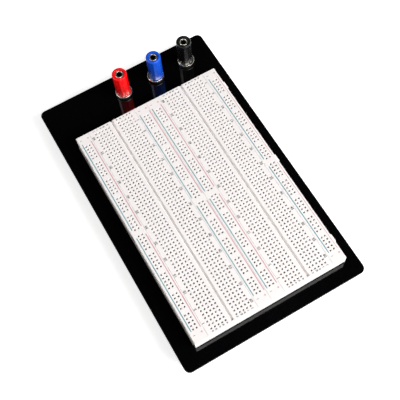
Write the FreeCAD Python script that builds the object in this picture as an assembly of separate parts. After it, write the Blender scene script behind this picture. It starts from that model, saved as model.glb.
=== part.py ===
import FreeCAD, Part
import math
import os

# Solderless breadboard station: two 830-type tie-point boards and three binding posts on a panel.
#
# Frame: the origin is on the bench, below the middle of the panel. +X runs across the boards,
# +Y runs along them towards the binding posts, +Z is up. All sizes are in millimetres.
#
# Each board is three strips that dovetail together: bus, terminal, bus. A strip is a moulded
# shell with one open pocket under each row of tie points, a sprung metal contact in each pocket
# and an adhesive foam pad below that closes the pockets and holds the strip to the panel.

V = FreeCAD.Vector

# ---------------------------------------------------------------- driving dimensions

PITCH = 2.54  # tie-point spacing, the 0.1 inch grid

# panel and feet
PANEL_X = 131.4
PANEL_Y = 214.6
PANEL_T = 2.0
PANEL_CORNER_R = 4.0
PANEL_EDGE = 0.3
FOOT_H = 11.0
FOOT_TOP_R = 7.5
FOOT_BOTTOM_R = 6.5
FOOT_EDGE_R = 1.0
FOOT_DIMPLE_R = 3.5
FOOT_DIMPLE_DEPTH = 1.0
FOOT_INSET = 9.0

# strips
TERMINAL_W = 35.6
BUS_W = 9.6
STRIP_L = 165.4
STRIP_H = 8.0
STRIP_GAP = 0.1  # seam between two strips that lie side by side
ROWS = 63
COLUMNS_A_SIDE = 5
RAVINE_PITCHES = 3  # column e to column f, in pitches
NEAR_MARGIN = 3.85  # first row to the near end of a strip
ARRAY_CENTRE_X = 1.8  # middle of the pair of boards, from the middle of the panel
FIRST_ROW_Y = -92.0
TIE_HOLE = 1.1  # square
SKIN_T = 1.5  # top skin over the pockets

# pockets and contacts
POCKET_W = 1.8
POCKET_END = 1.05  # pocket past the centre of its last tie point
CONTACT_W = 1.4
CONTACT_END = 0.85
CONTACT_T = 0.25
CONTACT_H = 6.0
CONTACT_ROOT = 1.5  # unslit height at the foot of the spring fingers
FINGER_SLIT = 0.6

# bus strips: five tie points, one row without, and so on
BUS_FIRST_ROW = 2
BUS_GROUP = 5
BUS_GROUPS_A_RAIL = 5
BUS_RAILS_LONG = 2

# ravine of a terminal strip, a V groove with a narrow floor
RAVINE_W = 2.0
RAVINE_FLOOR_W = 0.4
RAVINE_DEPTH = 1.6
RAVINE_NEAR_END = 1.8

# dovetails along the long sides
DOVETAIL_PITCH = 67.1
DOVETAIL_PROUD = 0.9
DOVETAIL_ROOT = 4.6
DOVETAIL_TIP = 5.6
DOVETAIL_H = 6.5
DOVETAIL_PLAY = 0.15

# adhesive foam
PAD_T = 1.5
PAD_OVERHANG = 0.5  # past the free left-hand side
PAD_INSET = 2.4  # short of the ends and of the free right-hand side
PAD_GAP = 0.2

# binding posts, as heights above the panel's top face
POST_Y = 90.5
PANEL_HOLE_R = 3.6
INSULATOR_R = 5.75
INSULATOR_T = 1.5
SPIGOT_R = 3.5
SPIGOT_L = 1.8
WASHER_R = 6.0
WASHER_T = 1.2
WASHER_BORE_R = 2.6
BARREL_R = 3.0
BARREL_TOP = 24.5
SOCKET_R = 2.0
SOCKET_DEPTH = 18.0
SOCKET_LEAD_IN = 0.3
WIRE_HOLE_R = 0.9
WIRE_HOLE_Z = 4.9
THREAD_R = 2.0  # M4 tail
THREAD_BORE_R = 2.1
TAIL_END = -9.6
KNOB_R = 5.25
KNOB_TOP = 25.0
KNOB_SEAT = 0.05
KNOB_EDGE = 0.6
KNOB_BORE_R = 3.15
FLUTES = 12
FLUTE_R = 0.9
FLUTE_DEPTH = 0.3
FLUTE_TOP_LAND = 1.6
INSERT_R = 4.0
INSERT_L = 9.0
INSERT_BORE_R = 3.05
INSERT_PLAY = 0.03
INSERT_SETBACK = 0.15

# under the panel, below each post
LOWER_INSULATOR_T = 2.0
LUG_T = 0.5
LUG_R = 4.0
LUG_TAIL_W = 3.4
LUG_TAIL_L = 12.0
LUG_EYE_R = 0.9
LOCK_R = 3.8
LOCK_T = 0.9
LOCK_SPLIT = 0.8
NUT_FLATS = 7.0
NUT_T = 3.2
NUT_CHAMFER = 0.5

# ---------------------------------------------------------------- levels and places

PANEL_TOP = FOOT_H + PANEL_T
STRIP_Z = PANEL_TOP + PAD_T
STRIP_CENTRE_Y = FIRST_ROW_Y - NEAR_MARGIN + STRIP_L / 2
BOARD_W = TERMINAL_W + 2 * BUS_W
KNOB_BOTTOM = INSULATOR_T + WASHER_T + KNOB_SEAT
BUS_COLUMN_X = PITCH / 2

# The strips from left to right: name, width, and the two sides that face the open panel.
STRIPS = [
    ("bus_strip_1", BUS_W, True, False),
    ("terminal_strip_left", TERMINAL_W, False, False),
    ("bus_strip_2", BUS_W, False, False),
    ("bus_strip_3", BUS_W, False, False),
    ("terminal_strip_right", TERMINAL_W, False, False),
    ("bus_strip_4", BUS_W, False, True),
]

# The posts from left to right: colour, X, and how far the loose washer sits off centre in X.
POSTS = [
    ("red", -6.0, 0.3),
    ("blue", 20.6, -0.55),
    ("black", 44.8, 0.45),
]


def box(x0, x1, y0, y1, z0, z1):
    """A block between two corners."""
    return Part.makeBox(x1 - x0, y1 - y0, z1 - z0, V(x0, y0, z0))


def prism(points, z0, z1):
    """A closed outline in plan, raised from z0 to z1."""
    corners = [V(x, y, z0) for x, y in points]
    outline = Part.makePolygon(corners + corners[:1])
    return Part.Face(outline).extrude(V(0, 0, z1 - z0))


def disc(radius, z0, z1, x=0.0, y=0.0):
    """An upright cylinder between two heights."""
    return Part.makeCylinder(radius, z1 - z0, V(x, y, z0))


def turned(profile):
    """A solid of revolution about Z from (radius, z) points in order."""
    corners = [V(r, 0, z) for r, z in profile]
    outline = Part.makePolygon(corners + corners[:1])
    return Part.Face(outline).revolve(V(0, 0, 0), V(0, 0, 1), 360)


def moved(shape, x, y, z):
    """A copy of a shape carried to its place."""
    copy = shape.copy()
    copy.translate(V(x, y, z))
    return copy


def row_y(row):
    """Place of a row along a strip, from the strip's own middle."""
    return row * PITCH + NEAR_MARGIN - STRIP_L / 2


def tie_hole(x, y):
    """Square tie point through the top skin."""
    half = TIE_HOLE / 2
    return box(x - half, x + half, y - half, y + half, STRIP_H - 2 * SKIN_T, STRIP_H + 1)


# ---------------------------------------------------------------- strip shells


def dovetails(width, play):
    """The three tabs on a strip's right-hand side, grown by play where they cut slots."""
    root = DOVETAIL_ROOT / 2 + play
    tip = DOVETAIL_TIP / 2 + play
    face = width / 2
    inner = face - DOVETAIL_PROUD / 2
    outer = face + DOVETAIL_PROUD + play
    tabs = []
    for step in (-1, 0, 1):
        y = step * DOVETAIL_PITCH
        points = [
            (inner, y - root),
            (face, y - root),
            (outer, y - tip),
            (outer, y + tip),
            (face, y + root),
            (inner, y + root),
        ]
        tabs.append(prism(points, 0, DOVETAIL_H + play))
    return tabs


def shell_blank(width):
    """A strip's outer block with dovetail slots on its left side and tabs on its right."""
    half = (width - STRIP_GAP) / 2
    blank = box(-half, half, -STRIP_L / 2, STRIP_L / 2, 0, STRIP_H)
    slots = [moved(tab, -width, 0, 0) for tab in dovetails(width, DOVETAIL_PLAY)]
    return blank.cut(slots).fuse(dovetails(width, 0)).removeSplitter()


def terminal_columns(side):
    """Column centres of one half of a terminal strip, from the ravine outwards."""
    first = RAVINE_PITCHES * PITCH / 2
    return [side * (first + PITCH * c) for c in range(COLUMNS_A_SIDE)]


def ravine():
    """The centre groove: closed at the near end, open at the far end."""
    near = -STRIP_L / 2 + RAVINE_NEAR_END
    half = RAVINE_W / 2
    floor_half = RAVINE_FLOOR_W / 2
    floor_z = STRIP_H - RAVINE_DEPTH
    section = [
        (-half, STRIP_H + 1),
        (-half, STRIP_H),
        (-floor_half, floor_z),
        (floor_half, floor_z),
        (half, STRIP_H),
        (half, STRIP_H + 1),
    ]
    corners = [V(x, near, z) for x, z in section]
    outline = Part.makePolygon(corners + corners[:1])
    return Part.Face(outline).extrude(V(0, STRIP_L, 0))


def terminal_shell():
    """Terminal strip: 63 rows of five tie points on each side of the ravine."""
    pockets = []
    holes = []
    for row in range(ROWS):
        y = row_y(row)
        for side in (-1, 1):
            columns = sorted(terminal_columns(side))
            low = columns[0] - POCKET_END
            high = columns[-1] + POCKET_END
            pockets.append(box(low, high, y - POCKET_W / 2, y + POCKET_W / 2, -1, STRIP_H - SKIN_T))
            holes += [tie_hole(x, y) for x in columns]
    shell = shell_blank(TERMINAL_W).cut(ravine())
    return shell.cut(pockets).cut(holes)


def bus_rail_rows():
    """Rows of each rail half: lists of the rows that carry tie points."""
    rails = []
    row = BUS_FIRST_ROW
    for _ in range(BUS_RAILS_LONG):
        rows = []
        for _ in range(BUS_GROUPS_A_RAIL):
            rows += range(row, row + BUS_GROUP)
            row += BUS_GROUP + 1
        rails.append(rows)
    return rails


def bus_shell():
    """Bus strip: two columns of tie points in groups of five, over four long pockets."""
    pockets = []
    holes = []
    for x in (-BUS_COLUMN_X, BUS_COLUMN_X):
        for rows in bus_rail_rows():
            low = row_y(rows[0]) - POCKET_END
            high = row_y(rows[-1]) + POCKET_END
            pockets.append(box(x - POCKET_W / 2, x + POCKET_W / 2, low, high, -1, STRIP_H - SKIN_T))
            holes += [tie_hole(x, row_y(row)) for row in rows]
    return shell_blank(BUS_W).cut(pockets).cut(holes)


# ---------------------------------------------------------------- contacts


def spring_contact(centres, past):
    """Folded spring strip along X: a base and two walls slit into a finger pair per tie point."""
    low = min(centres) - past
    high = max(centres) + past
    half = CONTACT_W / 2
    outer = box(low, high, -half, half, 0, CONTACT_H)
    inside = box(low - 1, high + 1, CONTACT_T - half, half - CONTACT_T, CONTACT_T, CONTACT_H + 1)
    cuts = [inside]
    ordered = sorted(centres)
    for a, b in zip(ordered, ordered[1:]):
        middle = (a + b) / 2
        slit = (b - a - PITCH + FINGER_SLIT) / 2
        cuts.append(box(middle - slit, middle + slit, -1, 1, CONTACT_ROOT, CONTACT_H + 1))
    return outer.cut(cuts)


def terminal_contacts():
    """One five-way contact in each pocket of a terminal strip."""
    left = spring_contact(terminal_columns(-1), CONTACT_END)
    right = spring_contact(terminal_columns(1), CONTACT_END)
    solids = []
    for row in range(ROWS):
        solids += [moved(contact, 0, row_y(row), 0) for contact in (left, right)]
    return Part.makeCompound(solids)


def bus_contacts():
    """Two rails of two long contacts, each joining 25 tie points."""
    solids = []
    for rows in bus_rail_rows():
        rail = spring_contact([row_y(row) for row in rows], CONTACT_END)
        rail.rotate(V(0, 0, 0), V(0, 0, 1), 90)
        solids += [moved(rail, x, 0, 0) for x in (-BUS_COLUMN_X, BUS_COLUMN_X)]
    return Part.makeCompound(solids)


def foam_pad(width, open_left, open_right):
    """Adhesive foam under one strip, short of its ends and offset to the left where it is free."""
    left = -width / 2 - (PAD_OVERHANG if open_left else -PAD_GAP / 2)
    right = width / 2 - (PAD_INSET if open_right else PAD_GAP / 2)
    end = STRIP_L / 2 - PAD_INSET
    return box(left, right, -end, end, 0, PAD_T)


# ---------------------------------------------------------------- panel and feet


def panel():
    """Flat metal panel with rounded corners, broken edges and a hole for each post."""
    x = PANEL_X / 2
    y = PANEL_Y / 2
    plate = box(-x, x, -y, y, 0, PANEL_T)
    upright = [e for e in plate.Edges if abs(e.Vertexes[0].Z - e.Vertexes[1].Z) > PANEL_T / 2]
    plate = plate.makeFillet(PANEL_CORNER_R, upright)
    rims = [e for e in plate.Edges if e.BoundBox.ZLength < PANEL_T / 2]
    plate = plate.makeChamfer(PANEL_EDGE, rims)
    holes = [disc(PANEL_HOLE_R, -1, PANEL_T + 1, px, POST_Y) for _, px, _ in POSTS]
    return plate.cut(holes)


def rubber_feet():
    """Four self-adhesive bumpers near the corners."""
    foot = Part.makeCone(FOOT_BOTTOM_R, FOOT_TOP_R, FOOT_H)
    rim = [e for e in foot.Edges if e.BoundBox.ZLength < 0.1 and e.BoundBox.ZMax < 0.1]
    foot = foot.makeFillet(FOOT_EDGE_R, rim)
    foot = foot.cut(disc(FOOT_DIMPLE_R, -1, FOOT_DIMPLE_DEPTH))
    x = PANEL_X / 2 - FOOT_INSET
    y = PANEL_Y / 2 - FOOT_INSET
    corners = [(-x, -y), (x, -y), (-x, y), (x, y)]
    return Part.makeCompound([moved(foot, cx, cy, 0) for cx, cy in corners])


# ---------------------------------------------------------------- binding posts


def knob():
    """Fluted insulating cap, bored for the barrel and counterbored for its threaded insert."""
    insert_top = KNOB_BOTTOM + INSERT_SETBACK + INSERT_L + INSERT_SETBACK
    cap = turned(
        [
            (INSERT_R, KNOB_BOTTOM),
            (KNOB_R - KNOB_EDGE / 2, KNOB_BOTTOM),
            (KNOB_R, KNOB_BOTTOM + KNOB_EDGE / 2),
            (KNOB_R, KNOB_TOP - KNOB_EDGE),
            (KNOB_R - KNOB_EDGE, KNOB_TOP),
            (KNOB_BORE_R, KNOB_TOP),
            (KNOB_BORE_R, insert_top),
            (INSERT_R, insert_top),
        ]
    )
    flutes = []
    reach = KNOB_R + FLUTE_R - FLUTE_DEPTH
    for n in range(FLUTES):
        angle = 2 * math.pi * (n + 0.5) / FLUTES
        x = reach * math.cos(angle)
        y = reach * math.sin(angle)
        flutes.append(disc(FLUTE_R, KNOB_BOTTOM - 1, KNOB_TOP - FLUTE_TOP_LAND, x, y))
    return cap.cut(flutes)


def insert():
    """Threaded metal bush inside the knob, which runs on the barrel's thread."""
    low = KNOB_BOTTOM + INSERT_SETBACK
    bush = disc(INSERT_R - INSERT_PLAY, low, low + INSERT_L)
    return bush.cut(disc(INSERT_BORE_R, low - 1, low + INSERT_L + 1))


def stud():
    """Plug socket, wire hole, clamping shoulder and threaded tail in one turned piece."""
    shoulder = INSULATOR_T + WASHER_T
    socket_floor = BARREL_TOP - SOCKET_DEPTH
    turning = turned(
        [
            (0, TAIL_END),
            (THREAD_R - SOCKET_LEAD_IN, TAIL_END),
            (THREAD_R, TAIL_END + SOCKET_LEAD_IN),
            (THREAD_R, shoulder),
            (BARREL_R, shoulder),
            (BARREL_R, BARREL_TOP - SOCKET_LEAD_IN),
            (BARREL_R - SOCKET_LEAD_IN, BARREL_TOP),
            (SOCKET_R + SOCKET_LEAD_IN, BARREL_TOP),
            (SOCKET_R, BARREL_TOP - SOCKET_LEAD_IN),
            (SOCKET_R, socket_floor),
            (0, socket_floor),
        ]
    )
    wire_hole = Part.makeCylinder(WIRE_HOLE_R, 4 * BARREL_R, V(0, -2 * BARREL_R, WIRE_HOLE_Z), V(0, 1, 0))
    return turning.cut(wire_hole)


def washer(shift_x):
    """Plated clamping washer on top of the insulator, loose on the stud."""
    ring = disc(WASHER_R, INSULATOR_T, INSULATOR_T + WASHER_T)
    rim = [e for e in ring.Edges if abs(e.BoundBox.ZMin - INSULATOR_T - WASHER_T) < 0.01]
    ring = ring.makeChamfer(WASHER_T / 4, rim)
    ring = ring.cut(disc(WASHER_BORE_R, INSULATOR_T - 1, INSULATOR_T + WASHER_T + 1))
    ring.translate(V(shift_x, 0, 0))
    return ring


def upper_insulator():
    """Shoulder bush: a flange on the panel and a spigot in its hole."""
    flange = disc(INSULATOR_R, 0, INSULATOR_T)
    spigot = disc(SPIGOT_R, -SPIGOT_L, 0)
    return flange.fuse(spigot).cut(disc(THREAD_BORE_R, -SPIGOT_L - 1, INSULATOR_T + 1))


def lower_insulator():
    """Plain insulating washer under the panel."""
    top = -PANEL_T
    washer_blank = disc(INSULATOR_R, top - LOWER_INSULATOR_T, top)
    return washer_blank.cut(disc(THREAD_BORE_R, top - LOWER_INSULATOR_T - 1, top + 1))


def solder_lug():
    """Flat tag with a ring for the stud and an eye for the wire."""
    top = -PANEL_T - LOWER_INSULATOR_T
    low = top - LUG_T
    half = LUG_TAIL_W / 2
    tail = box(-half, half, -LUG_TAIL_L + half, 0, low, top)
    tip = disc(half, low, top, 0, -LUG_TAIL_L + half)
    tag = disc(LUG_R, low, top).fuse([tail, tip]).removeSplitter()
    bores = [disc(THREAD_BORE_R, low - 1, top + 1), disc(LUG_EYE_R, low - 1, top + 1, 0, -LUG_TAIL_L + half)]
    return tag.cut(bores)


def lock_washer():
    """Split spring washer between lug and nut."""
    top = -PANEL_T - LOWER_INSULATOR_T - LUG_T
    ring = disc(LOCK_R, top - LOCK_T, top).cut(disc(THREAD_BORE_R, top - LOCK_T - 1, top + 1))
    return ring.cut(box(0, LOCK_R + 1, -LOCK_SPLIT / 2, LOCK_SPLIT / 2, top - LOCK_T - 1, top + 1))


def hex_nut():
    """Hexagon nut with chamfered corners."""
    top = -PANEL_T - LOWER_INSULATOR_T - LUG_T - LOCK_T
    low = top - NUT_T
    corner = NUT_FLATS / math.sqrt(3)
    turns = [math.radians(60 * n) for n in range(6)]
    hexagon = prism([(corner * math.cos(a), corner * math.sin(a)) for a in turns], low, top)
    barrel = turned(
        [
            (0, low),
            (corner - NUT_CHAMFER, low),
            (corner, low + NUT_CHAMFER / 2),
            (corner, top - NUT_CHAMFER / 2),
            (corner - NUT_CHAMFER, top),
            (0, top),
        ]
    )
    return hexagon.common(barrel).cut(disc(THREAD_BORE_R, low - 1, top + 1))


# ---------------------------------------------------------------- assembly


def strip_places():
    """(name, width, open_left, open_right, centre X) of each strip, left to right."""
    x = ARRAY_CENTRE_X - BOARD_W
    places = []
    for name, width, open_left, open_right in STRIPS:
        places.append((name, width, open_left, open_right, x + width / 2))
        x += width
    return places


def strip_nodes():
    """Shell, contacts and foam pad of every strip."""
    shells = {"terminal": terminal_shell(), "bus": bus_shell()}
    contacts = {"terminal": terminal_contacts(), "bus": bus_contacts()}
    nodes = {}
    for name, width, open_left, open_right, x in strip_places():
        kind = "terminal" if width == TERMINAL_W else "bus"
        shell = shells[kind]
        nodes[name] = moved(shell, x, STRIP_CENTRE_Y, STRIP_Z)
        nodes[name + "_contacts"] = moved(contacts[kind], x, STRIP_CENTRE_Y, STRIP_Z)
        pad = foam_pad(width, open_left, open_right)
        nodes[name + "_foam"] = moved(pad, x, STRIP_CENTRE_Y, PANEL_TOP)
    return nodes


def post_nodes():
    """The pieces of each binding post, with the identical fasteners grouped."""
    nodes = {}
    nuts = []
    locks = []
    for colour, x, washer_shift in POSTS:
        place = (x, POST_Y, PANEL_TOP)
        nodes[f"knob_{colour}"] = moved(knob(), *place)
        nodes[f"knob_insert_{colour}"] = moved(insert(), *place)
        nodes[f"post_stud_{colour}"] = moved(stud(), *place)
        nodes[f"post_washer_{colour}"] = moved(washer(washer_shift), *place)
        nodes[f"upper_insulator_{colour}"] = moved(upper_insulator(), *place)
        nodes[f"lower_insulator_{colour}"] = moved(lower_insulator(), *place)
        nodes[f"solder_lug_{colour}"] = moved(solder_lug(), *place)
        locks.append(moved(lock_washer(), *place))
        nuts.append(moved(hex_nut(), *place))
    nodes["post_lock_washers"] = Part.makeCompound(locks)
    nodes["post_hex_nuts"] = Part.makeCompound(nuts)
    return nodes


def main():
    os.makedirs("parts", exist_ok=True)
    nodes = {"base_panel": moved(panel(), 0, 0, FOOT_H), "rubber_feet": rubber_feet()}
    nodes.update(strip_nodes())
    nodes.update(post_nodes())
    for name, shape in nodes.items():
        if not shape.isValid():
            raise ValueError(f"{name} is not a valid shape")
        shape.exportStep(os.path.join("parts", f"{name}.step"))
        print(f"{name}: {len(shape.Solids)} solids, {shape.Volume:.1f} mm3")


main()
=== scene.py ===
"""Studio scene of a solderless breadboard station: two tie-point boards and three binding posts."""

import logging
import math
from dataclasses import dataclass, field
from enum import Enum
from typing import Callable, Optional, Sequence

import bmesh
import bpy
from mathutils import Matrix, Vector


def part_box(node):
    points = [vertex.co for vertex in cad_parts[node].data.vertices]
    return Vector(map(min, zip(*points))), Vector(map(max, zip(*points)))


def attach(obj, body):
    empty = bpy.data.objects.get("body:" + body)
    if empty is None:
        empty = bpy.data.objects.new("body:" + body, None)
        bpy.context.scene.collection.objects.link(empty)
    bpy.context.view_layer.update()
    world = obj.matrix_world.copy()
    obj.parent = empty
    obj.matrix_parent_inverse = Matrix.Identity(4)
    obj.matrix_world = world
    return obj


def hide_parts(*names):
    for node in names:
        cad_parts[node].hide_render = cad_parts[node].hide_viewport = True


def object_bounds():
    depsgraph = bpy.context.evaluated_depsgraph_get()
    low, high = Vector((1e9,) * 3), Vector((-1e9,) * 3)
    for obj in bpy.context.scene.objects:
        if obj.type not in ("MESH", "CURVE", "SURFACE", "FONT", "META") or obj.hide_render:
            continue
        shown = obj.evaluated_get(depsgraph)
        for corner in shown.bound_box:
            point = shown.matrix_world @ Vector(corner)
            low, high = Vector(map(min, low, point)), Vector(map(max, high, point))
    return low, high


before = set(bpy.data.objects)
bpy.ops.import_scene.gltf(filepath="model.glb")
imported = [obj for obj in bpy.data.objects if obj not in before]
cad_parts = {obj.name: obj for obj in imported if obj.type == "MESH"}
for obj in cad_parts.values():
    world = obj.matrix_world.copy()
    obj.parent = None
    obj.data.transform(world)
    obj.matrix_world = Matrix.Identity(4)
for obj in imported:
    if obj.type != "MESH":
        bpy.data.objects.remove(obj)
CAD_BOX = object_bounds()

LOG = logging.getLogger("breadboard_station")
MM = 0.001
PANEL_BODY = "panel"
WHITE = (1.0, 1.0, 1.0, 1.0)

# How far a corner may lie from a place and still count as on it.
TIGHT = 0.01 * MM
SLACK = 0.02 * MM
LOOSE = 0.05 * MM

# Corners of a CAD copy that are nearer than this are one corner.
MERGE = 0.002 * MM

# A wall's normal rises less than the first of these, and a level face's more than the second.
WALL_RISE = 0.5
LEVEL_RISE = 0.9

# Most of a noise texture's values lie between these two.
NOISE_SPAN = (0.3, 0.7)
FINE_DETAIL = 3.0

Tree = bpy.types.NodeTree
Node = bpy.types.Node
Socket = bpy.types.NodeSocket
Material = bpy.types.Material
Piece = bpy.types.Object
Edge = bmesh.types.BMEdge
Face = bmesh.types.BMFace
Vertex = bmesh.types.BMVert

STRIPS = (
    "bus_strip_1",
    "terminal_strip_left",
    "bus_strip_2",
    "bus_strip_3",
    "terminal_strip_right",
    "bus_strip_4",
)


@dataclass(frozen=True)
class PrintPlace:
    """Where one strip's print falls, measured from the strip's own middle and first row."""

    blue_x: float = 0.0
    red_x: float = 0.0
    blue_w: float = 0.6 * MM
    red_w: float = 0.55 * MM
    number_x: tuple[float, float] = (0.0, 0.0)
    number_y: float = 0.0


PRINT_PLACES = {
    "bus_strip_1": PrintPlace(blue_x=-3.0 * MM, red_x=3.6 * MM),
    "bus_strip_2": PrintPlace(blue_x=-3.6 * MM, red_x=4.0 * MM),
    "bus_strip_3": PrintPlace(blue_x=-3.45 * MM, red_x=3.55 * MM),
    "bus_strip_4": PrintPlace(blue_x=-3.05 * MM, red_x=3.4 * MM, red_w=0.26 * MM),
    "terminal_strip_left": PrintPlace(number_x=(-16.5 * MM, 16.1 * MM)),
    "terminal_strip_right": PrintPlace(number_x=(-16.4 * MM, 16.3 * MM), number_y=1.3 * MM),
}


class PostColour(Enum):
    """The three binding posts, with the colour that each knob is moulded in."""

    RED = "#F2050A"
    BLUE = "#0850CC"
    BLACK = "#030304"

    @property
    def word(self) -> str:
        """The colour's name as the CAD nodes use it."""
        return self.name.lower()


class Ink(Enum):
    """The three printing inks on the strips."""

    BLUE = "#4F919C"
    RED = "#CE8E99"
    GREY = "#3A3637"


# ---------------------------------------------------------------- colour and shader helpers


def linear(hex_colour: str) -> tuple[float, float, float, float]:
    """Turns an sRGB hex value into Blender's linear colour.

    Args:
        hex_colour: A colour such as "#D4000E".

    Returns:
        Linear red, green, blue and an alpha of one.
    """
    parts = [int(hex_colour[n : n + 2], 16) / 255 for n in (1, 3, 5)]
    lifted = [c / 12.92 if c <= 0.04045 else ((c + 0.055) / 1.055) ** 2.4 for c in parts]
    return (lifted[0], lifted[1], lifted[2], 1.0)


def add_node(tree: Tree, kind: str, inputs: Optional[dict] = None, **settings) -> Node:
    """Adds a shader node with its settings, and fills or links its inputs.

    Args:
        tree: The material's node tree.
        kind: Blender's name for the node type.
        inputs: Socket name or number to a value, or to an output socket that feeds it.
        **settings: Properties of the node itself.

    Returns:
        The new node.
    """
    made = tree.nodes.new(kind)
    for name, value in settings.items():
        setattr(made, name, value)
    for socket, value in (inputs or {}).items():
        if isinstance(value, Socket):
            tree.links.new(value, made.inputs[socket])
        else:
            made.inputs[socket].default_value = value
    return made


def per_metre(size_mm: float) -> float:
    """Noise scale whose features are about this many millimetres across."""
    return 1 / (size_mm * MM)


# ---------------------------------------------------------------- finishes


@dataclass(frozen=True)
class Finish:
    """A surface finish: its body colour, its gloss and the pattern that its making leaves."""

    name: str
    colour: str
    roughness: float = 0.4
    metallic: float = 0.0
    ior: float = 1.5

    def build(self) -> Material:
        """Makes the material, with the uniform values on the shader and the pattern linked to it.

        Returns:
            The finished material.
        """
        material = bpy.data.materials.new(self.name)
        material.use_nodes = True
        tree = material.node_tree
        shader = tree.nodes["Principled BSDF"]
        shader.inputs["Base Color"].default_value = linear(self.colour)
        shader.inputs["Roughness"].default_value = self.roughness
        shader.inputs["Metallic"].default_value = self.metallic
        shader.inputs["IOR"].default_value = self.ior
        where = add_node(tree, "ShaderNodeTexCoord").outputs["Object"]
        self.pattern(tree, shader, where)
        return material

    def pattern(self, tree: Tree, shader: Node, where: Socket) -> None:
        """Adds the finish's own pattern; the plain finish has none.

        Args:
            tree: The material's node tree.
            shader: Its surface shader.
            where: Object coordinates, which every pattern is laid out on.
        """

    def noise(self, tree: Tree, where: Socket, size_mm: float, detail: float = 2.0) -> Socket:
        """A noise output with features of a given size in millimetres."""
        inputs = {"Vector": where, "Scale": per_metre(size_mm), "Detail": detail}
        return add_node(tree, "ShaderNodeTexNoise", inputs).outputs["Fac"]

    def spread(self, tree: Tree, value: Socket, low: float, high: float) -> Socket:
        """Maps a noise value onto the range from low to high.

        Args:
            tree: The material's node tree.
            value: The noise.
            low: What the low end of the noise becomes.
            high: What its high end becomes.

        Returns:
            The mapped value.
        """
        least, most = NOISE_SPAN
        inputs = {"Value": value, "From Min": least, "From Max": most, "To Min": low, "To Max": high}
        return add_node(tree, "ShaderNodeMapRange", inputs).outputs["Result"]

    def shade(self, tree: Tree, value: Socket, dark: str, light: str) -> Socket:
        """Mixes two colours by a value.

        Args:
            tree: The material's node tree.
            value: Zero gives the first colour and one the second.
            dark: The first colour, as a hex value.
            light: The second colour, as a hex value.

        Returns:
            The mixed colour.
        """
        mix = add_node(tree, "ShaderNodeMix", {"Factor": value}, data_type="RGBA")
        mix.inputs[6].default_value = linear(dark)
        mix.inputs[7].default_value = linear(light)
        return mix.outputs[2]

    def bump(self, tree: Tree, shader: Node, height: Socket, depth_mm: float) -> None:
        """Feeds a height pattern to the shader's normal.

        Args:
            tree: The material's node tree.
            shader: The shader that gets the normal.
            height: The pattern, from zero to one.
            depth_mm: How deep the whole range is, in millimetres.
        """
        inputs = {"Height": height, "Distance": depth_mm * MM, "Strength": 1.0}
        made = add_node(tree, "ShaderNodeBump", inputs)
        tree.links.new(made.outputs["Normal"], shader.inputs["Normal"])


@dataclass(frozen=True)
class BakedEnamel(Finish):
    """Gloss enamel baked on sheet metal: mirror-like, with faint orange peel and wiped-on haze."""

    peel_mm: float = 2.2
    peel_depth_mm: float = 0.0012
    haze_mm: float = 30.0
    haze: float = 0.05

    def pattern(self, tree: Tree, shader: Node, where: Socket) -> None:
        """Orange peel in the normal, and a slow drift of the gloss.

        Args:
            tree: The material's node tree.
            shader: Its surface shader.
            where: Object coordinates.
        """
        self.bump(tree, shader, self.noise(tree, where, self.peel_mm, 1.0), self.peel_depth_mm)
        drift = self.noise(tree, where, self.haze_mm)
        gloss = self.spread(tree, drift, self.roughness, self.roughness + self.haze)
        tree.links.new(gloss, shader.inputs["Roughness"])


@dataclass(frozen=True)
class MouldedPlastic(Finish):
    """Injection-moulded plastic: the tool's fine grain, and a slow drift of tone along the flow."""

    grain_mm: float = 0.25
    grain_depth_mm: float = 0.004
    flow_mm: float = 35.0
    flow_colour: str = ""
    gloss_drift: float = 0.15

    def pattern(self, tree: Tree, shader: Node, where: Socket) -> None:
        """Grain in the normal and the gloss, tone drift in the colour.

        Args:
            tree: The material's node tree.
            shader: Its surface shader.
            where: Object coordinates.
        """
        grain = self.noise(tree, where, self.grain_mm)
        self.bump(tree, shader, grain, self.grain_depth_mm)
        drift = self.roughness * self.gloss_drift
        gloss = self.spread(tree, grain, self.roughness - drift, self.roughness + drift)
        tree.links.new(gloss, shader.inputs["Roughness"])
        flow = self.spread(tree, self.noise(tree, where, self.flow_mm), 0.0, 1.0)
        tone = self.shade(tree, flow, self.flow_colour or self.colour, self.colour)
        tree.links.new(tone, shader.inputs["Base Color"])


@dataclass(frozen=True)
class TurnedMetal(Finish):
    """Metal turned on a lathe and plated or left bright: fine rings about the post's own axis."""

    centre: tuple[float, float] = (0.0, 0.0)
    ring_mm: float = 0.18
    ring_depth_mm: float = 0.002
    dull_colour: str = "#8C8578"
    patch_mm: float = 4.0
    dulling: float = 0.35
    dull_roughness: float = 1.6

    def pattern(self, tree: Tree, shader: Node, where: Socket) -> None:
        """Rings from the distance to the axis and the height, with a faint dulling in patches.

        Args:
            tree: The material's node tree.
            shader: Its surface shader.
            where: Object coordinates.
        """
        offset = (-self.centre[0], -self.centre[1], 0.0)
        moved = add_node(tree, "ShaderNodeMapping", {"Vector": where, "Location": offset}).outputs[0]
        parts = add_node(tree, "ShaderNodeSeparateXYZ", {"Vector": moved}).outputs
        flat = add_node(tree, "ShaderNodeCombineXYZ", {"X": parts["X"], "Y": parts["Y"]}).outputs[0]
        reach = add_node(tree, "ShaderNodeVectorMath", {0: flat}, operation="LENGTH").outputs["Value"]
        rings = add_node(tree, "ShaderNodeCombineXYZ", {"X": reach, "Z": parts["Z"]}).outputs[0]
        self.bump(tree, shader, self.noise(tree, rings, self.ring_mm, FINE_DETAIL), self.ring_depth_mm)
        patches = self.spread(tree, self.noise(tree, where, self.patch_mm), 0.0, self.dulling)
        tree.links.new(self.shade(tree, patches, self.colour, self.dull_colour), shader.inputs["Base Color"])
        gloss = self.spread(tree, patches, self.roughness, self.roughness * self.dull_roughness)
        tree.links.new(gloss, shader.inputs["Roughness"])


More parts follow.
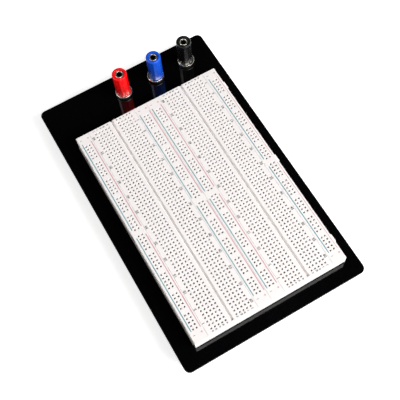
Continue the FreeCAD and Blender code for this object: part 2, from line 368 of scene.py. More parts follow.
@dataclass(frozen=True)
class RolledMetal(Finish):
    """Strip or bar stock: drawn lines along one direction, with a little staining."""

    grain: tuple[float, float, float] = (0.1, 1.0, 1.0)
    line_mm: float = 0.12
    line_depth_mm: float = 0.0015
    stain_colour: str = "#8A8478"
    stain_mm: float = 3.0
    staining: float = 0.4

    def pattern(self, tree: Tree, shader: Node, where: Socket) -> None:
        """Stretched noise for the drawn lines, and slow staining.

        Args:
            tree: The material's node tree.
            shader: Its surface shader.
            where: Object coordinates.
        """
        drawn = add_node(tree, "ShaderNodeMapping", {"Vector": where, "Scale": self.grain}).outputs[0]
        self.bump(tree, shader, self.noise(tree, drawn, self.line_mm, FINE_DETAIL), self.line_depth_mm)
        stain = self.spread(tree, self.noise(tree, where, self.stain_mm), 0.0, self.staining)
        tree.links.new(self.shade(tree, stain, self.colour, self.stain_colour), shader.inputs["Base Color"])


@dataclass(frozen=True)
class CellularFoam(Finish):
    """Closed-cell adhesive foam cut with a blade: rounded cells, dull all over."""

    cell_mm: float = 0.35
    cell_depth_mm: float = 0.08
    pore_colour: str = "#7E7A74"

    def pattern(self, tree: Tree, shader: Node, where: Socket) -> None:
        """Cells in the normal, with painted shade in their sunk pores.

        Args:
            tree: The material's node tree.
            shader: Its surface shader.
            where: Object coordinates.
        """
        inputs = {"Vector": where, "Scale": per_metre(self.cell_mm)}
        cells = add_node(tree, "ShaderNodeTexVoronoi", inputs).outputs["Distance"]
        self.bump(tree, shader, cells, self.cell_depth_mm)
        # The sunk pore centres take the darker colour: painted shade.
        tree.links.new(self.shade(tree, cells, self.pore_colour, self.colour), shader.inputs["Base Color"])


@dataclass(frozen=True)
class PrintedInk(Finish):
    """Pad-printed ink: thin and matt, with patches where the plastic shows through."""

    patch_mm: float = 0.6
    ground: str = "#E9E8E4"
    thinnest: float = 0.1

    def pattern(self, tree: Tree, shader: Node, where: Socket) -> None:
        """Mixes the ink with the plastic below it in small patches.

        Args:
            tree: The material's node tree.
            shader: Its surface shader.
            where: Object coordinates.
        """
        cover = self.noise(tree, where, self.patch_mm, FINE_DETAIL)
        thin = self.spread(tree, cover, 0.0, self.thinnest)
        tree.links.new(self.shade(tree, thin, self.colour, self.ground), shader.inputs["Base Color"])


class FinishShelf:
    """Every finish of the station, each built once."""

    def __init__(self) -> None:
        """Builds the materials that do not depend on a post."""
        # Black baked enamel on aluminium sheet: nearly a mirror, so it shows what hangs over it.
        self.enamel = BakedEnamel("gloss_black_baked_enamel", "#040405", 0.04, ior=1.43).build()
        # White ABS with a fine satin grain.
        self.abs = MouldedPlastic("white_moulded_abs", "#F4EFED", 0.42, flow_colour="#F1ECEA").build()
        # Black nylon: a duller, slightly waxy black.
        self.nylon = MouldedPlastic("black_moulded_nylon", "#101011", 0.5, grain_mm=0.3).build()
        # Moulded rubber: matt, with a coarse grain.
        rubber = MouldedPlastic("matt_moulded_rubber", "#161616", 0.8, grain_mm=0.5, grain_depth_mm=0.03)
        self.rubber = rubber.build()
        # Polyethylene foam tape: mid grey and dull.
        self.foam = CellularFoam("closed_cell_foam_tape", "#A8A49E", 0.95).build()
        # Nickel silver spring strip: warm and soft in its shine.
        self.spring = RolledMetal("rolled_nickel_silver", "#B9B1A2", 0.32, 1.0).build()
        # Tinned brass tags: pale, a little dull.
        tinned = RolledMetal("tinned_brass_sheet", "#C9C8C2", 0.3, 1.0, grain=(1.0, 0.1, 1.0))
        self.tinned = tinned.build()
        # Zinc-plated steel fasteners: cool grey.
        self.zinc = RolledMetal("zinc_plated_steel", "#B4B6B8", 0.28, 1.0, grain=(1.0, 1.0, 0.2)).build()
        # Inside of a plug socket: brass that the plating bath hardly reaches, so it is dull, and it is made
        # near black as painted shade for the deep socket.
        socket = RolledMetal("tarnished_socket_bore", "#26221D", 0.55, 1.0, stain_colour="#15120F")
        self.socket = socket.build()
        # Pad-printing ink: matt, one colour for each kind of mark.
        self.inks = {
            ink: PrintedInk(f"pad_print_ink_{ink.name.lower()}", ink.value, 0.55).build() for ink in Ink
        }

    def nickel(self, colour: PostColour, centre: Vector) -> Material:
        """Bright nickel on turned brass, ringed about one post."""
        name = f"bright_nickel_plate_{colour.word}"
        return TurnedMetal(name, "#DCD8CF", 0.22, 1.0, centre=(centre.x, centre.y)).build()

    def brass(self, colour: PostColour, centre: Vector) -> Material:
        """Turned brass, ringed about one post.

        Args:
            colour: Which post.
            centre: The middle of its knob, on its axis.

        Returns:
            The material.
        """
        name = f"turned_brass_{colour.word}"
        metal = TurnedMetal(name, "#C49A4C", 0.22, 1.0, centre=(centre.x, centre.y), dull_colour="#8A6A33")
        return metal.build()

    def knob(self, colour: PostColour) -> Material:
        """Gloss knob plastic: smooth moulded, with a soft clear shine."""
        name = f"gloss_moulded_knob_{colour.word}"
        return MouldedPlastic(name, colour.value, 0.24, grain_mm=0.6, grain_depth_mm=0.0015).build()


# ---------------------------------------------------------------- mesh helpers


def deselect_all() -> None:
    """Leaves object mode and clears the selection."""
    if bpy.context.object and bpy.context.object.mode != "OBJECT":
        bpy.ops.object.mode_set(mode="OBJECT")
    bpy.ops.object.select_all(action="DESELECT")


def make_active(piece: Piece) -> None:
    """Selects one object alone and makes it the active one.

    Args:
        piece: The object.
    """
    deselect_all()
    piece.select_set(True)
    bpy.context.view_layer.objects.active = piece


def dress(piece: Piece, material: Material) -> None:
    """Gives a piece one material all over."""
    piece.data.materials.clear()
    piece.data.materials.append(material)


def select_where(piece: Piece, kind: str, test: Callable) -> int:
    """Selects the vertices, edges or faces of a mesh in edit mode that pass a test.

    Args:
        piece: The mesh object that is being edited.
        kind: "verts", "edges" or "faces".
        test: Takes one element and says whether it is selected.

    Returns:
        How many elements were selected.
    """
    modes = {"verts": "VERT", "edges": "EDGE", "faces": "FACE"}
    bpy.ops.mesh.select_mode(type=modes[kind])
    bpy.ops.mesh.select_all(action="DESELECT")
    mesh = bmesh.from_edit_mesh(piece.data)
    chosen = [element for element in getattr(mesh, kind) if test(element)]
    for element in chosen:
        element.select_set(True)
    mesh.select_flush_mode()
    bmesh.update_edit_mesh(piece.data)
    return len(chosen)


def at_height(vertex: Vertex, z: float) -> bool:
    """Whether a vertex lies at a height."""
    return abs(vertex.co.z - z) < SLACK


def is_level(edge: Edge) -> bool:
    """Whether an edge runs level."""
    return abs(edge.verts[0].co.z - edge.verts[1].co.z) < TIGHT


def is_wall(face: Face) -> bool:
    """Whether a face is steep enough to be a wall."""
    return abs(face.normal.z) < WALL_RISE


def merged_copy(node: str, name: str) -> Piece:
    """Copies a CAD node's loose triangles into a new object and merges them.

    Args:
        node: The CAD node.
        name: The new object's name.

    Returns:
        The copy, active and left in edit mode.
    """
    piece = bpy.data.objects.new(name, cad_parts[node].data.copy())
    bpy.context.scene.collection.objects.link(piece)
    make_active(piece)
    bpy.ops.object.mode_set(mode="EDIT")
    bpy.ops.mesh.select_all(action="SELECT")
    bpy.ops.mesh.remove_doubles(threshold=MERGE)
    return piece


def bevel_edges(offset: float, segments: int, slide: bool = True) -> None:
    """Bevels the selected edges.

    Args:
        offset: Width of the bevel.
        segments: How many faces it has.
        slide: Whether its corners keep to the edges beside it.
    """
    bpy.ops.mesh.bevel(
        offset=offset, segments=segments, affect="EDGES", clamp_overlap=False, loop_slide=slide
    )


def leave_edit_mode(smooth_degrees: Optional[float] = None) -> None:
    """Turns every face outwards and leaves edit mode.

    Args:
        smooth_degrees: Edges flatter than this are shaded smooth; with none given, the facets stay.
    """
    bpy.ops.mesh.select_all(action="SELECT")
    bpy.ops.mesh.normals_make_consistent(inside=False)
    bpy.ops.object.mode_set(mode="OBJECT")
    if smooth_degrees is not None:
        bpy.ops.object.shade_smooth_by_angle(angle=math.radians(smooth_degrees))


def settle(piece: Piece) -> None:
    """Applies a piece's place, turn and scale, so that its object sits at the origin."""
    make_active(piece)
    bpy.ops.object.transform_apply(location=True, rotation=True, scale=True)


def joined(pieces: Sequence[Piece], name: str) -> Piece:
    """Joins several objects into one under a new name.

    Args:
        pieces: The objects.
        name: What the whole is called.

    Returns:
        The whole.
    """
    deselect_all()
    for piece in pieces:
        piece.select_set(True)
    bpy.context.view_layer.objects.active = pieces[0]
    if len(pieces) > 1:
        bpy.ops.object.join()
    whole = bpy.context.view_layer.objects.active
    whole.name = name
    whole.data.name = name
    return whole


def report(piece: Piece) -> None:
    """Logs a finished piece and its size."""
    size = ", ".join(f"{1 / MM * d:.1f}" for d in piece.dimensions)
    LOG.info("%s: %d faces, %s mm", piece.name, len(piece.data.polygons), size)


# ---------------------------------------------------------------- strips and their print


@dataclass
class StripShell:
    """One moulded strip with its tie points, rounded edges and lead-ins."""

    node: str
    lead_in: float = 0.14 * MM
    edge: float = 0.3 * MM
    seam: float = 0.08 * MM
    rim_most: float = 1.5 * MM
    seam_reach: float = 1.2 * MM
    upright_rise: float = 0.2
    flat_degrees: float = 0.5

    def build(self) -> Piece:
        """Copies the strip's plain shell, breaks its rims and rounds its outline.

        Returns:
            The strip as one closed mesh.
        """
        piece = merged_copy(self.node, f"{self.node}_shell")
        low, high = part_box(self.node)
        select_where(piece, "faces", is_wall)
        bpy.ops.mesh.dissolve_limited(angle_limit=math.radians(self.flat_degrees), delimit={"NORMAL"})
        self.break_rims(piece, high.z)
        self.round_outline(piece, low, high)
        leave_edit_mode()
        return piece

    def break_rims(self, piece: Piece, top: float) -> None:
        """Bevels each tie point's square rim into a lead-in.

        Args:
            piece: The strip, in edit mode.
            top: Height of its top plane.
        """

        def is_rim(edge: Edge) -> bool:
            """Whether an edge is one side of a tie point's mouth."""
            on_top = all(at_height(v, top) for v in edge.verts)
            return on_top and any(is_wall(f) for f in edge.link_faces) and edge.calc_length() < self.rim_most

        select_where(piece, "edges", is_rim)
        bevel_edges(self.lead_in, 1, slide=False)

    def round_outline(self, piece: Piece, low: Vector, high: Vector) -> None:
        """Rounds the ends and free sides of the strip, and only breaks the sides that meet another.

        Args:
            piece: The strip, in edit mode.
            low: Lowest corner of its box.
            high: Highest corner of its box.
        """
        sides = ((low.x, self.node == STRIPS[0]), (high.x, self.node == STRIPS[-1]))
        seams = [x for x, free in sides if not free]

        def is_seam(edge: Edge) -> bool:
            """Whether an edge lies along a side that meets another strip."""
            return any(all(abs(v.co.x - x) < self.seam_reach for v in edge.verts) for x in seams)

        def is_outline(edge: Edge) -> bool:
            """Whether an edge is a long one between the top plane and an upright wall."""
            on_top = all(at_height(v, high.z) for v in edge.verts)
            upright = any(abs(f.normal.z) < self.upright_rise for f in edge.link_faces)
            return on_top and upright and edge.calc_length() > self.rim_most

        for offset, segments, wanted in ((self.edge, 3, False), (self.seam, 1, True)):
            select_where(piece, "edges", lambda e: is_outline(e) and is_seam(e) == wanted)
            bevel_edges(offset, segments, slide=False)


@dataclass
class StripPrint:
    """The ink on one strip: lines and signs on a bus strip, numbers and letters on a terminal strip."""

    node: str
    bus_w: float = 9.6 * MM
    terminal_w: float = 35.6 * MM
    half_gap: float = 0.05 * MM
    pitch: float = 2.54 * MM
    first_row: float = 3.85 * MM
    rows: int = 63
    columns_a_side: int = 5
    number_step: int = 5
    number_shift: int = 1
    ink_t: float = 0.03 * MM
    line_ends: tuple[float, ...] = (4.2 * MM, 75.3 * MM, 81.5 * MM, 155.0 * MM)
    sign_rows: tuple[float, float] = (1.3 * MM, 157.9 * MM)
    sign_x: tuple[float, float] = (-2.5 * MM, 2.8 * MM)
    sign_w: float = 1.5 * MM
    sign_stroke: float = 0.3 * MM
    number_h: float = 1.75 * MM
    letter_h: float = 1.4 * MM
    stroke_gain: float = 0.06 * MM
    cap_share: float = 0.7
    letter_sink: float = 0.006 * MM
    letter_rows: tuple[float, float] = (-1.9 * MM, 160.0 * MM)
    column_first: float = 3.81 * MM
    low: Vector = field(init=False)
    high: Vector = field(init=False)

    def __post_init__(self) -> None:
        """Reads the strip's place from the frame."""
        self.low, self.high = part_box(self.node)
        width = self.bus_w if "bus" in self.node else self.terminal_w
        self.centre_x = self.low.x + width / 2 - self.half_gap
        self.row_one = self.low.y + self.first_row
        self.place = PRINT_PLACES[self.node]

    def bar(self, x: float, y0: float, y1: float, width: float) -> Piece:
        """A thin slab of ink with softened corners, sunk by half of the thickness that stands proud.

        Args:
            x: Its middle across the strip.
            y0: Its near end.
            y1: Its far end.
            width: Its size across the strip.

        Returns:
            The slab.
        """
        sunk = self.ink_t / 2
        centre = (x, (y0 + y1) / 2, self.high.z + (self.ink_t - sunk) / 2)
        bpy.ops.mesh.primitive_cube_add(size=1, location=centre)
        slab = bpy.context.object
        slab.scale = (width, y1 - y0, self.ink_t + sunk)
        settle(slab)
        bpy.ops.object.mode_set(mode="EDIT")
        select_where(slab, "edges", lambda e: abs(e.verts[0].co.z - e.verts[1].co.z) > self.ink_t)
        bevel_edges(min(width, y1 - y0) / 4, 2)
        bpy.ops.object.mode_set(mode="OBJECT")
        return slab

    def word(self, text: str, x: float, y: float, height: float, turned: bool) -> Piece:
        """A number or letter whose baseline runs along the strip.

        Args:
            text: The generic index mark.
            x: Its centre across the strip.
            y: Its centre along the strip.
            height: Height of its capitals.
            turned: Whether it reads from the far end.

        Returns:
            The mark as a closed mesh.
        """
        bpy.ops.object.text_add(location=(0, 0, 0))
        mark = bpy.context.object
        mark.data.body = text
        mark.data.size = height / self.cap_share
        mark.data.align_x = "CENTER"
        mark.data.align_y = "CENTER"
        mark.data.resolution_u = 2
        mark.data.offset = self.stroke_gain
        mark.data.extrude = self.ink_t / 2
        bpy.ops.object.convert(target="MESH")
        angle = -math.pi / 2 if turned else math.pi / 2
        place = Matrix.Translation((x, y, self.high.z + self.ink_t / 2 - self.letter_sink))
        mark.data.transform(place @ Matrix.Rotation(angle, 4, "Z"))
        return mark

    def bus_marks(self) -> dict[Ink, list[Piece]]:
        """Blue and red lines in two lengths each, with a minus and a plus sign at both ends.

        Returns:
            Each ink's marks.
        """
        ends = [self.row_one + y for y in self.line_ends]
        place = self.place
        sides = (
            (Ink.BLUE, place.blue_x, place.blue_w, self.sign_x[0]),
            (Ink.RED, place.red_x, place.red_w, self.sign_x[1]),
        )
        marks: dict[Ink, list[Piece]] = {}
        for ink, line_x, line_w, sign_x in sides:
            lines = zip(ends[::2], ends[1::2])
            marks[ink] = [self.bar(self.centre_x + line_x, y0, y1, line_w) for y0, y1 in lines]
            for row in self.sign_rows:
                spot = (self.centre_x + sign_x, self.row_one + row)
                marks[ink].append(self.sign_bar(*spot, upright=False))
                if ink is Ink.RED:
                    marks[ink].append(self.sign_bar(*spot, upright=True))
        return marks

    def sign_bar(self, x: float, y: float, upright: bool) -> Piece:
        """One stroke of a plus or minus sign.

        Args:
            x: The sign's middle across the strip.
            y: Its middle along the strip.
            upright: Whether the stroke runs along the strip.

        Returns:
            The stroke.
        """
        length, width = (self.sign_w, self.sign_stroke) if upright else (self.sign_stroke, self.sign_w)
        return self.bar(x, y - length / 2, y + length / 2, width)

    def terminal_marks(self) -> dict[Ink, list[Piece]]:
        """Row numbers down both sides and column letters at both ends.

        Returns:
            The one ink's marks.
        """
        marks: list[Piece] = []
        last = self.rows - 1
        left_x, right_x = (self.centre_x + x for x in self.place.number_x)
        for number in [1] + list(range(self.number_step, self.rows, self.number_step)):
            row = number + self.number_shift
            near_y = self.row_one + row * self.pitch + self.place.number_y
            far_y = self.row_one + (last - row) * self.pitch + self.place.number_y
            marks.append(self.word(str(number), left_x, near_y, self.number_h, False))
            marks.append(self.word(str(number), right_x, far_y, self.number_h, True))
        for turned, row in zip((False, True), self.letter_rows):
            for index, letter in enumerate("abcdefghij"):
                left = index < self.columns_a_side
                step = self.columns_a_side - 1 - index if left else index - self.columns_a_side
                reach = self.column_first + self.pitch * step
                x = self.centre_x + (-reach if left != turned else reach)
                marks.append(self.word(letter, x, self.row_one + row, self.letter_h, turned))
        return {Ink.GREY: marks}

    def build(self, shelf: FinishShelf) -> list[Piece]:
        """Prints the strip.

        Args:
            shelf: The finishes.

        Returns:
            One joined piece for each ink.
        """
        marks = self.bus_marks() if "bus" in self.node else self.terminal_marks()
        pieces = []
        for ink, parts in marks.items():
            piece = joined(parts, f"{self.node}_print_{ink.name.lower()}")
            dress(piece, shelf.inks[ink])
            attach(piece, PANEL_BODY)
            report(piece)
            pieces.append(piece)
        return pieces


@dataclass
class Boards:
    """The six strips side by side, with their contacts and foam pads."""

    shelf: FinishShelf

    def build(self) -> None:
        """Builds and prints every strip, and dresses what lies inside and below it."""
        for node in STRIPS:
            shell = StripShell(node).build()
            dress(shell, self.shelf.abs)
            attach(shell, PANEL_BODY)
            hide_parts(node)
            report(shell)
            StripPrint(node).build(self.shelf)
            dress(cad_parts[f"{node}_contacts"], self.shelf.spring)
            dress(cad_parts[f"{node}_foam"], self.shelf.foam)


# ---------------------------------------------------------------- panel and feet


@dataclass
class PanelAndFeet:
    """The enamelled panel and its rubber feet."""

    shelf: FinishShelf

    def build(self) -> None:
        """Dresses both."""
        dress(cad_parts["base_panel"], self.shelf.enamel)
        dress(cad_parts["rubber_feet"], self.shelf.rubber)


# ---------------------------------------------------------------- binding posts


@dataclass
class Knob:
    """A fluted knob: scalloped wall, rounded rims, stepped bore."""

    colour: PostColour
    flutes: int = 12
    points_a_flute: int = 8
    flute_depth: float = 0.28 * MM
    flute_land: float = 1.5 * MM
    run_out: float = 0.9 * MM
    rim: float = 0.8 * MM
    bore_r: float = 3.15 * MM
    lower_bore_r: float = 4.0 * MM
    lower_bore_h: float = 9.3 * MM
    mouth: float = 0.45 * MM
    node: str = field(init=False)
    low: Vector = field(init=False)
    high: Vector = field(init=False)
    centre: Vector = field(init=False)
    radius: float = field(init=False)

    def __post_init__(self) -> None:
        """Reads the knob's place and size from the frame."""
        self.node = f"knob_{self.colour.word}"
        self.low, self.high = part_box(self.node)
        self.centre = (self.low + self.high) / 2
        self.radius = (self.high.y - self.low.y) / 2

    def build(self) -> Piece:
        """Models the knob from a cylinder.

        Returns:
            The knob as one closed mesh.
        """
        deselect_all()
        bpy.ops.mesh.primitive_cylinder_add(
            vertices=self.flutes * self.points_a_flute,
            radius=self.radius,
            depth=self.high.z - self.low.z,
            end_fill_type="NGON",
            location=self.centre,
        )
        piece = bpy.context.object
        piece.name = piece.data.name = f"{self.node}_fluted"
        settle(piece)
        bpy.ops.object.mode_set(mode="EDIT")
        self.bore(piece)
        self.levels()
        self.scallop(piece)
        self.round_rims(piece)
        bpy.ops.mesh.select_all(action="SELECT")
        bpy.ops.mesh.remove_doubles(threshold=MERGE / 2)
        leave_edit_mode(smooth_degrees=40)
        return piece

    def radius_of(self, vertex: Vertex) -> float:
        """Distance of a vertex from the knob's axis."""
        return math.hypot(vertex.co.x - self.centre.x, vertex.co.y - self.centre.y)

    def bore(self, piece: Piece) -> None:
        """Sinks the bore from the top and the wider one from below, and joins them.

        Args:
            piece: The knob, in edit mode.
        """
        select_where(piece, "faces", lambda f: f.normal.z > LEVEL_RISE)
        bpy.ops.mesh.inset(thickness=self.radius - self.bore_r - self.mouth)
        bpy.ops.mesh.inset(thickness=self.mouth, depth=-self.mouth)
        select_where(piece, "faces", lambda f: f.normal.z < -LEVEL_RISE)
        bpy.ops.mesh.inset(thickness=self.radius - self.lower_bore_r)
        bpy.ops.mesh.extrude_region_move(TRANSFORM_OT_translate={"value": (0, 0, self.lower_bore_h)})
        bpy.ops.mesh.inset(thickness=self.lower_bore_r - self.bore_r)
        select_where(piece, "faces", self.is_bore_cap)
        bpy.ops.mesh.delete(type="ONLY_FACE")
        select_where(piece, "edges", lambda e: e.is_boundary)
        bpy.ops.mesh.bridge_edge_loops()

    def is_bore_cap(self, face: Face) -> bool:
        """Whether a face closes one end of the bore."""
        level = abs(face.normal.z) > LEVEL_RISE
        return level and all(abs(self.radius_of(v) - self.bore_r) < LOOSE for v in face.verts)

    def levels(self) -> None:
        """Cuts the wall where the flutes end and where they reach full depth."""
        for z in (self.high.z - self.flute_land, self.high.z - self.flute_land - self.run_out):
            bpy.ops.mesh.select_all(action="SELECT")
            bpy.ops.mesh.bisect(plane_co=(self.centre.x, self.centre.y, z), plane_no=(0, 0, 1))

    def scallop(self, piece: Piece) -> None:
        """Draws the wall inwards between the ridges, one ring of columns at a time.

        Args:
            piece: The knob, in edit mode.
        """
        full = self.high.z - self.flute_land - self.run_out
        for step in range(1, self.points_a_flute // 2 + 1):
            depth = self.flute_depth * math.sin(math.pi / 2 * step / (self.points_a_flute / 2))
            ratio = 1 - depth / self.radius

            def in_column(vertex: Vertex) -> bool:
                """Whether a vertex of the fluted wall is this many columns from a ridge."""
                outer = self.radius_of(vertex) > self.radius - SLACK
                turn = math.atan2(vertex.co.y - self.centre.y, vertex.co.x - self.centre.x)
                place = round(turn / (2 * math.pi) * self.flutes * self.points_a_flute) % self.points_a_flute
                from_ridge = min(place, self.points_a_flute - place)
                return outer and vertex.co.z < full + SLACK and from_ridge == step

            select_where(piece, "verts", in_column)
            bpy.ops.transform.resize(value=(ratio, ratio, 1), center_override=self.centre)

    def round_rims(self, piece: Piece) -> None:
        """Rounds the outer rim at the top and breaks the one at the foot.

        Args:
            piece: The knob, in edit mode.
        """

        def rim_at(z: float) -> Callable[[Edge], bool]:
            """A test for the edges of the outer rim at a height."""
            reach = self.radius - self.flute_depth - LOOSE
            return lambda e: all(at_height(v, z) and self.radius_of(v) > reach for v in e.verts)

        select_where(piece, "edges", rim_at(self.high.z))
        bevel_edges(self.rim, 5)
        select_where(piece, "edges", rim_at(self.low.z))
        bevel_edges(self.rim / 2, 2)


@dataclass
class ClampWasher:
    """The plated washer under a knob: a flat ring with a well rounded rim."""

    colour: PostColour
    sides: int = 72
    bore_r: float = 2.6 * MM
    rim: float = 0.4 * MM
    bore_edge: float = 0.15 * MM
    ring_slack: float = 0.03 * MM
    node: str = field(init=False)
    thickness: float = field(init=False)
    centre: Vector = field(init=False)
    radius: float = field(init=False)

    def __post_init__(self) -> None:
        """Reads the washer's place and size from the frame."""
        self.node = f"post_washer_{self.colour.word}"
        low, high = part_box(self.node)
        self.thickness = high.z - low.z
        self.centre = (low + high) / 2
        self.radius = (high.y - low.y) / 2

    def build(self) -> Piece:
        """Models the washer from a cylinder.

        Returns:
            The washer as one closed mesh.
        """
        deselect_all()
        bpy.ops.mesh.primitive_cylinder_add(
            vertices=self.sides,
            radius=self.radius,
            depth=self.thickness,
            end_fill_type="NGON",
            location=self.centre,
        )
        piece = bpy.context.object
        piece.name = piece.data.name = f"{self.node}_rounded"
        settle(piece)
        bpy.ops.object.mode_set(mode="EDIT")
        select_where(piece, "faces", lambda f: abs(f.normal.z) > LEVEL_RISE)
        bpy.ops.mesh.inset(thickness=self.radius - self.bore_r)
        bpy.ops.mesh.delete(type="ONLY_FACE")
        select_where(piece, "edges", lambda e: e.is_boundary)
        bpy.ops.mesh.bridge_edge_loops()
        for reach, width, segments in ((self.radius, self.rim, 5), (self.bore_r, self.bore_edge, 2)):
            select_where(piece, "edges", self.rims_at(reach))
            bevel_edges(width, segments)
        leave_edit_mode(smooth_degrees=50)
        return piece

    def rims_at(self, reach: float) -> Callable[[Edge], bool]:
        """A test for the level edges that run round the washer at a radius.

        Args:
            reach: The radius.

        Returns:
            The test.
        """

        def is_rim(edge: Edge) -> bool:
            """Whether an edge runs level round the washer at that radius."""
            off = [abs((v.co - self.centre).xy.length - reach) for v in edge.verts]
            return is_level(edge) and max(off) < self.ring_slack

        return is_rim


@dataclass
class Stud:
    """A post's stud, with the lip of its plug socket rounded."""

    colour: PostColour
    socket_r: float = 2.0 * MM
    socket_depth: float = 20.5 * MM
    plated_depth: float = 0.35 * MM
    lip: float = 0.09 * MM
    lip_h: float = 0.35 * MM
    node: str = field(init=False)
    top: float = field(init=False)
    centre: Vector = field(init=False)

    def __post_init__(self) -> None:
        """Reads the stud's place from the frame."""
        self.node = f"post_stud_{self.colour.word}"
        low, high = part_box(self.node)
        self.top = high.z
        self.centre = (low + high) / 2

    def reach_of(self, place: Vector) -> float:
        """Distance of a place from the stud's axis."""
        return (place - self.centre).xy.length

    def build(self) -> Piece:
        """Copies the stud's plain turning, merges it and rounds its top rim.

        Returns:
            The stud as one closed mesh.
        """
        piece = merged_copy(self.node, f"{self.node}_turned")
        select_where(piece, "edges", self.is_lip)
        bevel_edges(self.lip, 2, slide=False)
        leave_edit_mode(smooth_degrees=35)
        return piece

    def is_lip(self, edge: Edge) -> bool:
        """Whether an edge runs round one of the rims at the stud's top.

        Args:
            edge: An edge of the stud.

        Returns:
            Whether it does.
        """
        near_top = edge.verts[0].co.z > self.top - self.lip_h
        reaches = [self.reach_of(v.co) for v in edge.verts]
        return is_level(edge) and near_top and abs(reaches[0] - reaches[1]) < SLACK

    def shade_socket(self, piece: Piece, dark: Material) -> None:
        """Gives the wall of the plug socket its own dull, near-black finish, painted shade for the deep
        bore, from just below the lip down.

        Args:
            piece: The stud, which already has its plated finish.
            dark: The finish inside the socket, dull brass darkened with painted shade.
        """
        # Faces deep in the socket get the near-black finish: painted shade.
        piece.data.materials.append(dark)
        for face in piece.data.polygons:
            inside = self.reach_of(face.center) < self.socket_r + LOOSE
            if inside and self.top - self.socket_depth < face.center.z < self.top - self.plated_depth:
                face.material_index = 1


@dataclass
class BindingPosts:
    """The three posts: knobs, clamping washers and studs remade, and the rest dressed."""

    shelf: FinishShelf

    def build(self) -> None:
        """Builds the posts in order, and dresses the fasteners that they share a node for."""
        for colour in PostColour:
            self.post(colour)
        dress(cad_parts["post_lock_washers"], self.shelf.zinc)
        dress(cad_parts["post_hex_nuts"], self.shelf.zinc)

    def post(self, colour: PostColour) -> None:
        """Builds one post.

        Args:
            colour: Which of the three posts.
        """
        knob = Knob(colour)
        self.place(knob.build(), self.shelf.knob(colour), knob.node, f"{colour.word}_knob")
        nickel = self.shelf.nickel(colour, knob.centre)
        washer = ClampWasher(colour)
        self.place(washer.build(), nickel, washer.node, PANEL_BODY, "nickel_plate")
        stud = Stud(colour)
        turned = stud.build()
        self.place(turned, nickel, stud.node, PANEL_BODY, "nickel_plate")
        stud.shade_socket(turned, self.shelf.socket)
        dress(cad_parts[f"knob_insert_{colour.word}"], self.shelf.brass(colour, knob.centre))
        dress(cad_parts[f"upper_insulator_{colour.word}"], self.shelf.nylon)
        dress(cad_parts[f"lower_insulator_{colour.word}"], self.shelf.nylon)
        dress(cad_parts[f"solder_lug_{colour.word}"], self.shelf.tinned)

    def place(
        self, piece: Piece, material: Material, node: str, body: str, slot: Optional[str] = None
    ) -> None:
        """Finishes a piece.

        Args:
            piece: The piece.
            material: Its finish.
            node: The CAD node that it stands for.
            body: The body that it rides on.
            slot: Not used.
        """
        dress(piece, material)
        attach(piece, body)
        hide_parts(node)
        report(piece)


# ---------------------------------------------------------------- studio


@dataclass(frozen=True)
class Softbox:
    """One square softbox that faces the middle of the station; places are in metres."""

    name: str
    place: tuple[float, float, float]
    side: float
    watts: float
    lights_surfaces: bool = True
    shows_in_gloss: bool = True

    def hang(self) -> None:
        """Adds the light to the scene."""
        data = bpy.data.lights.new(self.name, "AREA")
        data.size = self.side
        data.energy = self.watts
        light = bpy.data.objects.new(self.name, data)
        bpy.context.scene.collection.objects.link(light)
        light.location = self.place
        light.rotation_euler = (-Vector(self.place)).to_track_quat("-Z", "Y").to_euler()
        light.visible_diffuse = self.lights_surfaces
        light.visible_glossy = self.shows_in_gloss


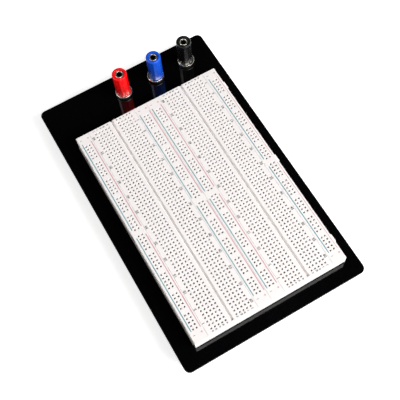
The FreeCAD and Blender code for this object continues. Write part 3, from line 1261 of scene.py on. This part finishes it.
@dataclass
class Studio:
    """A pale floor with a light of its own, soft lights, a black card and the camera."""

    floor_half: float = 3.0
    camera_place: tuple[float, float, float] = (-86.03 * MM, -204.13 * MM, 484.51 * MM)
    camera_turn: tuple[float, float, float] = (24.0233, 2.7681, -29.8648)
    lens: float = 69.58
    sensor_w: float = 36.0
    surround: float = 0.33
    flag_place: tuple[float, float, float] = (0.16, 0.39, 0.9)
    flag_size: tuple[float, float] = (0.62, 0.9)
    floor_glow: float = 0.65
    softboxes: tuple[Softbox, ...] = (
        Softbox("key_softbox", (1.15, -1.5, 1.15), 1.4, 80.0, shows_in_gloss=False),
        Softbox("high_glint", (0.3, -0.4, 1.4), 0.8, 16.0, lights_surfaces=False),
        Softbox("back_glint", (-0.9, 0.5, 0.9), 0.5, 5.0, lights_surfaces=False),
        Softbox("left_softbox", (-1.2, -0.2, 0.8), 0.6, 1.5),
    )

    def build(self) -> None:
        """Sets the floor, the sky, the lights, the black card and the camera."""
        self.floor()
        self.sky()
        for softbox in self.softboxes:
            softbox.hang()
        self.flag()
        self.camera()
        bpy.context.scene.view_settings.view_transform = "Standard"

    def floor(self) -> None:
        """Lays the floor at the height of the feet, with a glow that lifts its shadows."""
        bpy.ops.mesh.primitive_plane_add(size=2 * self.floor_half, location=(0, 0, CAD_BOX[0].z))
        floor = bpy.context.object
        floor.name = "studio_floor"
        card = MouldedPlastic("pale_studio_card", "#F4F4F2", 0.8, grain_mm=1.5, grain_depth_mm=0.01).build()
        shader = card.node_tree.nodes["Principled BSDF"]
        shader.inputs["Emission Color"].default_value = WHITE
        shader.inputs["Emission Strength"].default_value = self.floor_glow
        dress(floor, card)
        settle(floor)

    def sky(self) -> None:
        """An even pale surround."""
        world = bpy.data.worlds.new("studio_surround")
        bpy.context.scene.world = world
        world.use_nodes = True
        background = world.node_tree.nodes["Background"]
        background.inputs["Color"].default_value = WHITE
        background.inputs["Strength"].default_value = self.surround

    def flag(self) -> None:
        """Hangs a black card where the panel would mirror the surround into the camera."""
        bpy.ops.mesh.primitive_plane_add(size=1, location=self.flag_place)
        card = bpy.context.object
        card.name = "studio_flag"
        card.scale = (*self.flag_size, 1)
        dress(card, MouldedPlastic("black_velvet_card", "#020202", 1.0, grain_mm=1.5, ior=1.1).build())
        settle(card)

    def camera(self) -> None:
        """Places the camera high at the near left, looking down on the boards."""
        data = bpy.data.cameras.new("studio_camera")
        data.lens = self.lens
        data.sensor_width = self.sensor_w
        camera = bpy.data.objects.new("studio_camera", data)
        bpy.context.scene.collection.objects.link(camera)
        camera.location = self.camera_place
        camera.rotation_euler = [math.radians(a) for a in self.camera_turn]
        bpy.context.scene.camera = camera


def main() -> None:
    """Builds the station and its studio in order."""
    logging.basicConfig(level=logging.INFO, format="%(message)s")
    deselect_all()
    shelf = FinishShelf()
    PanelAndFeet(shelf).build()
    Boards(shelf).build()
    BindingPosts(shelf).build()
    Studio().build()
    deselect_all()


if __name__ == "__main__":
    main()
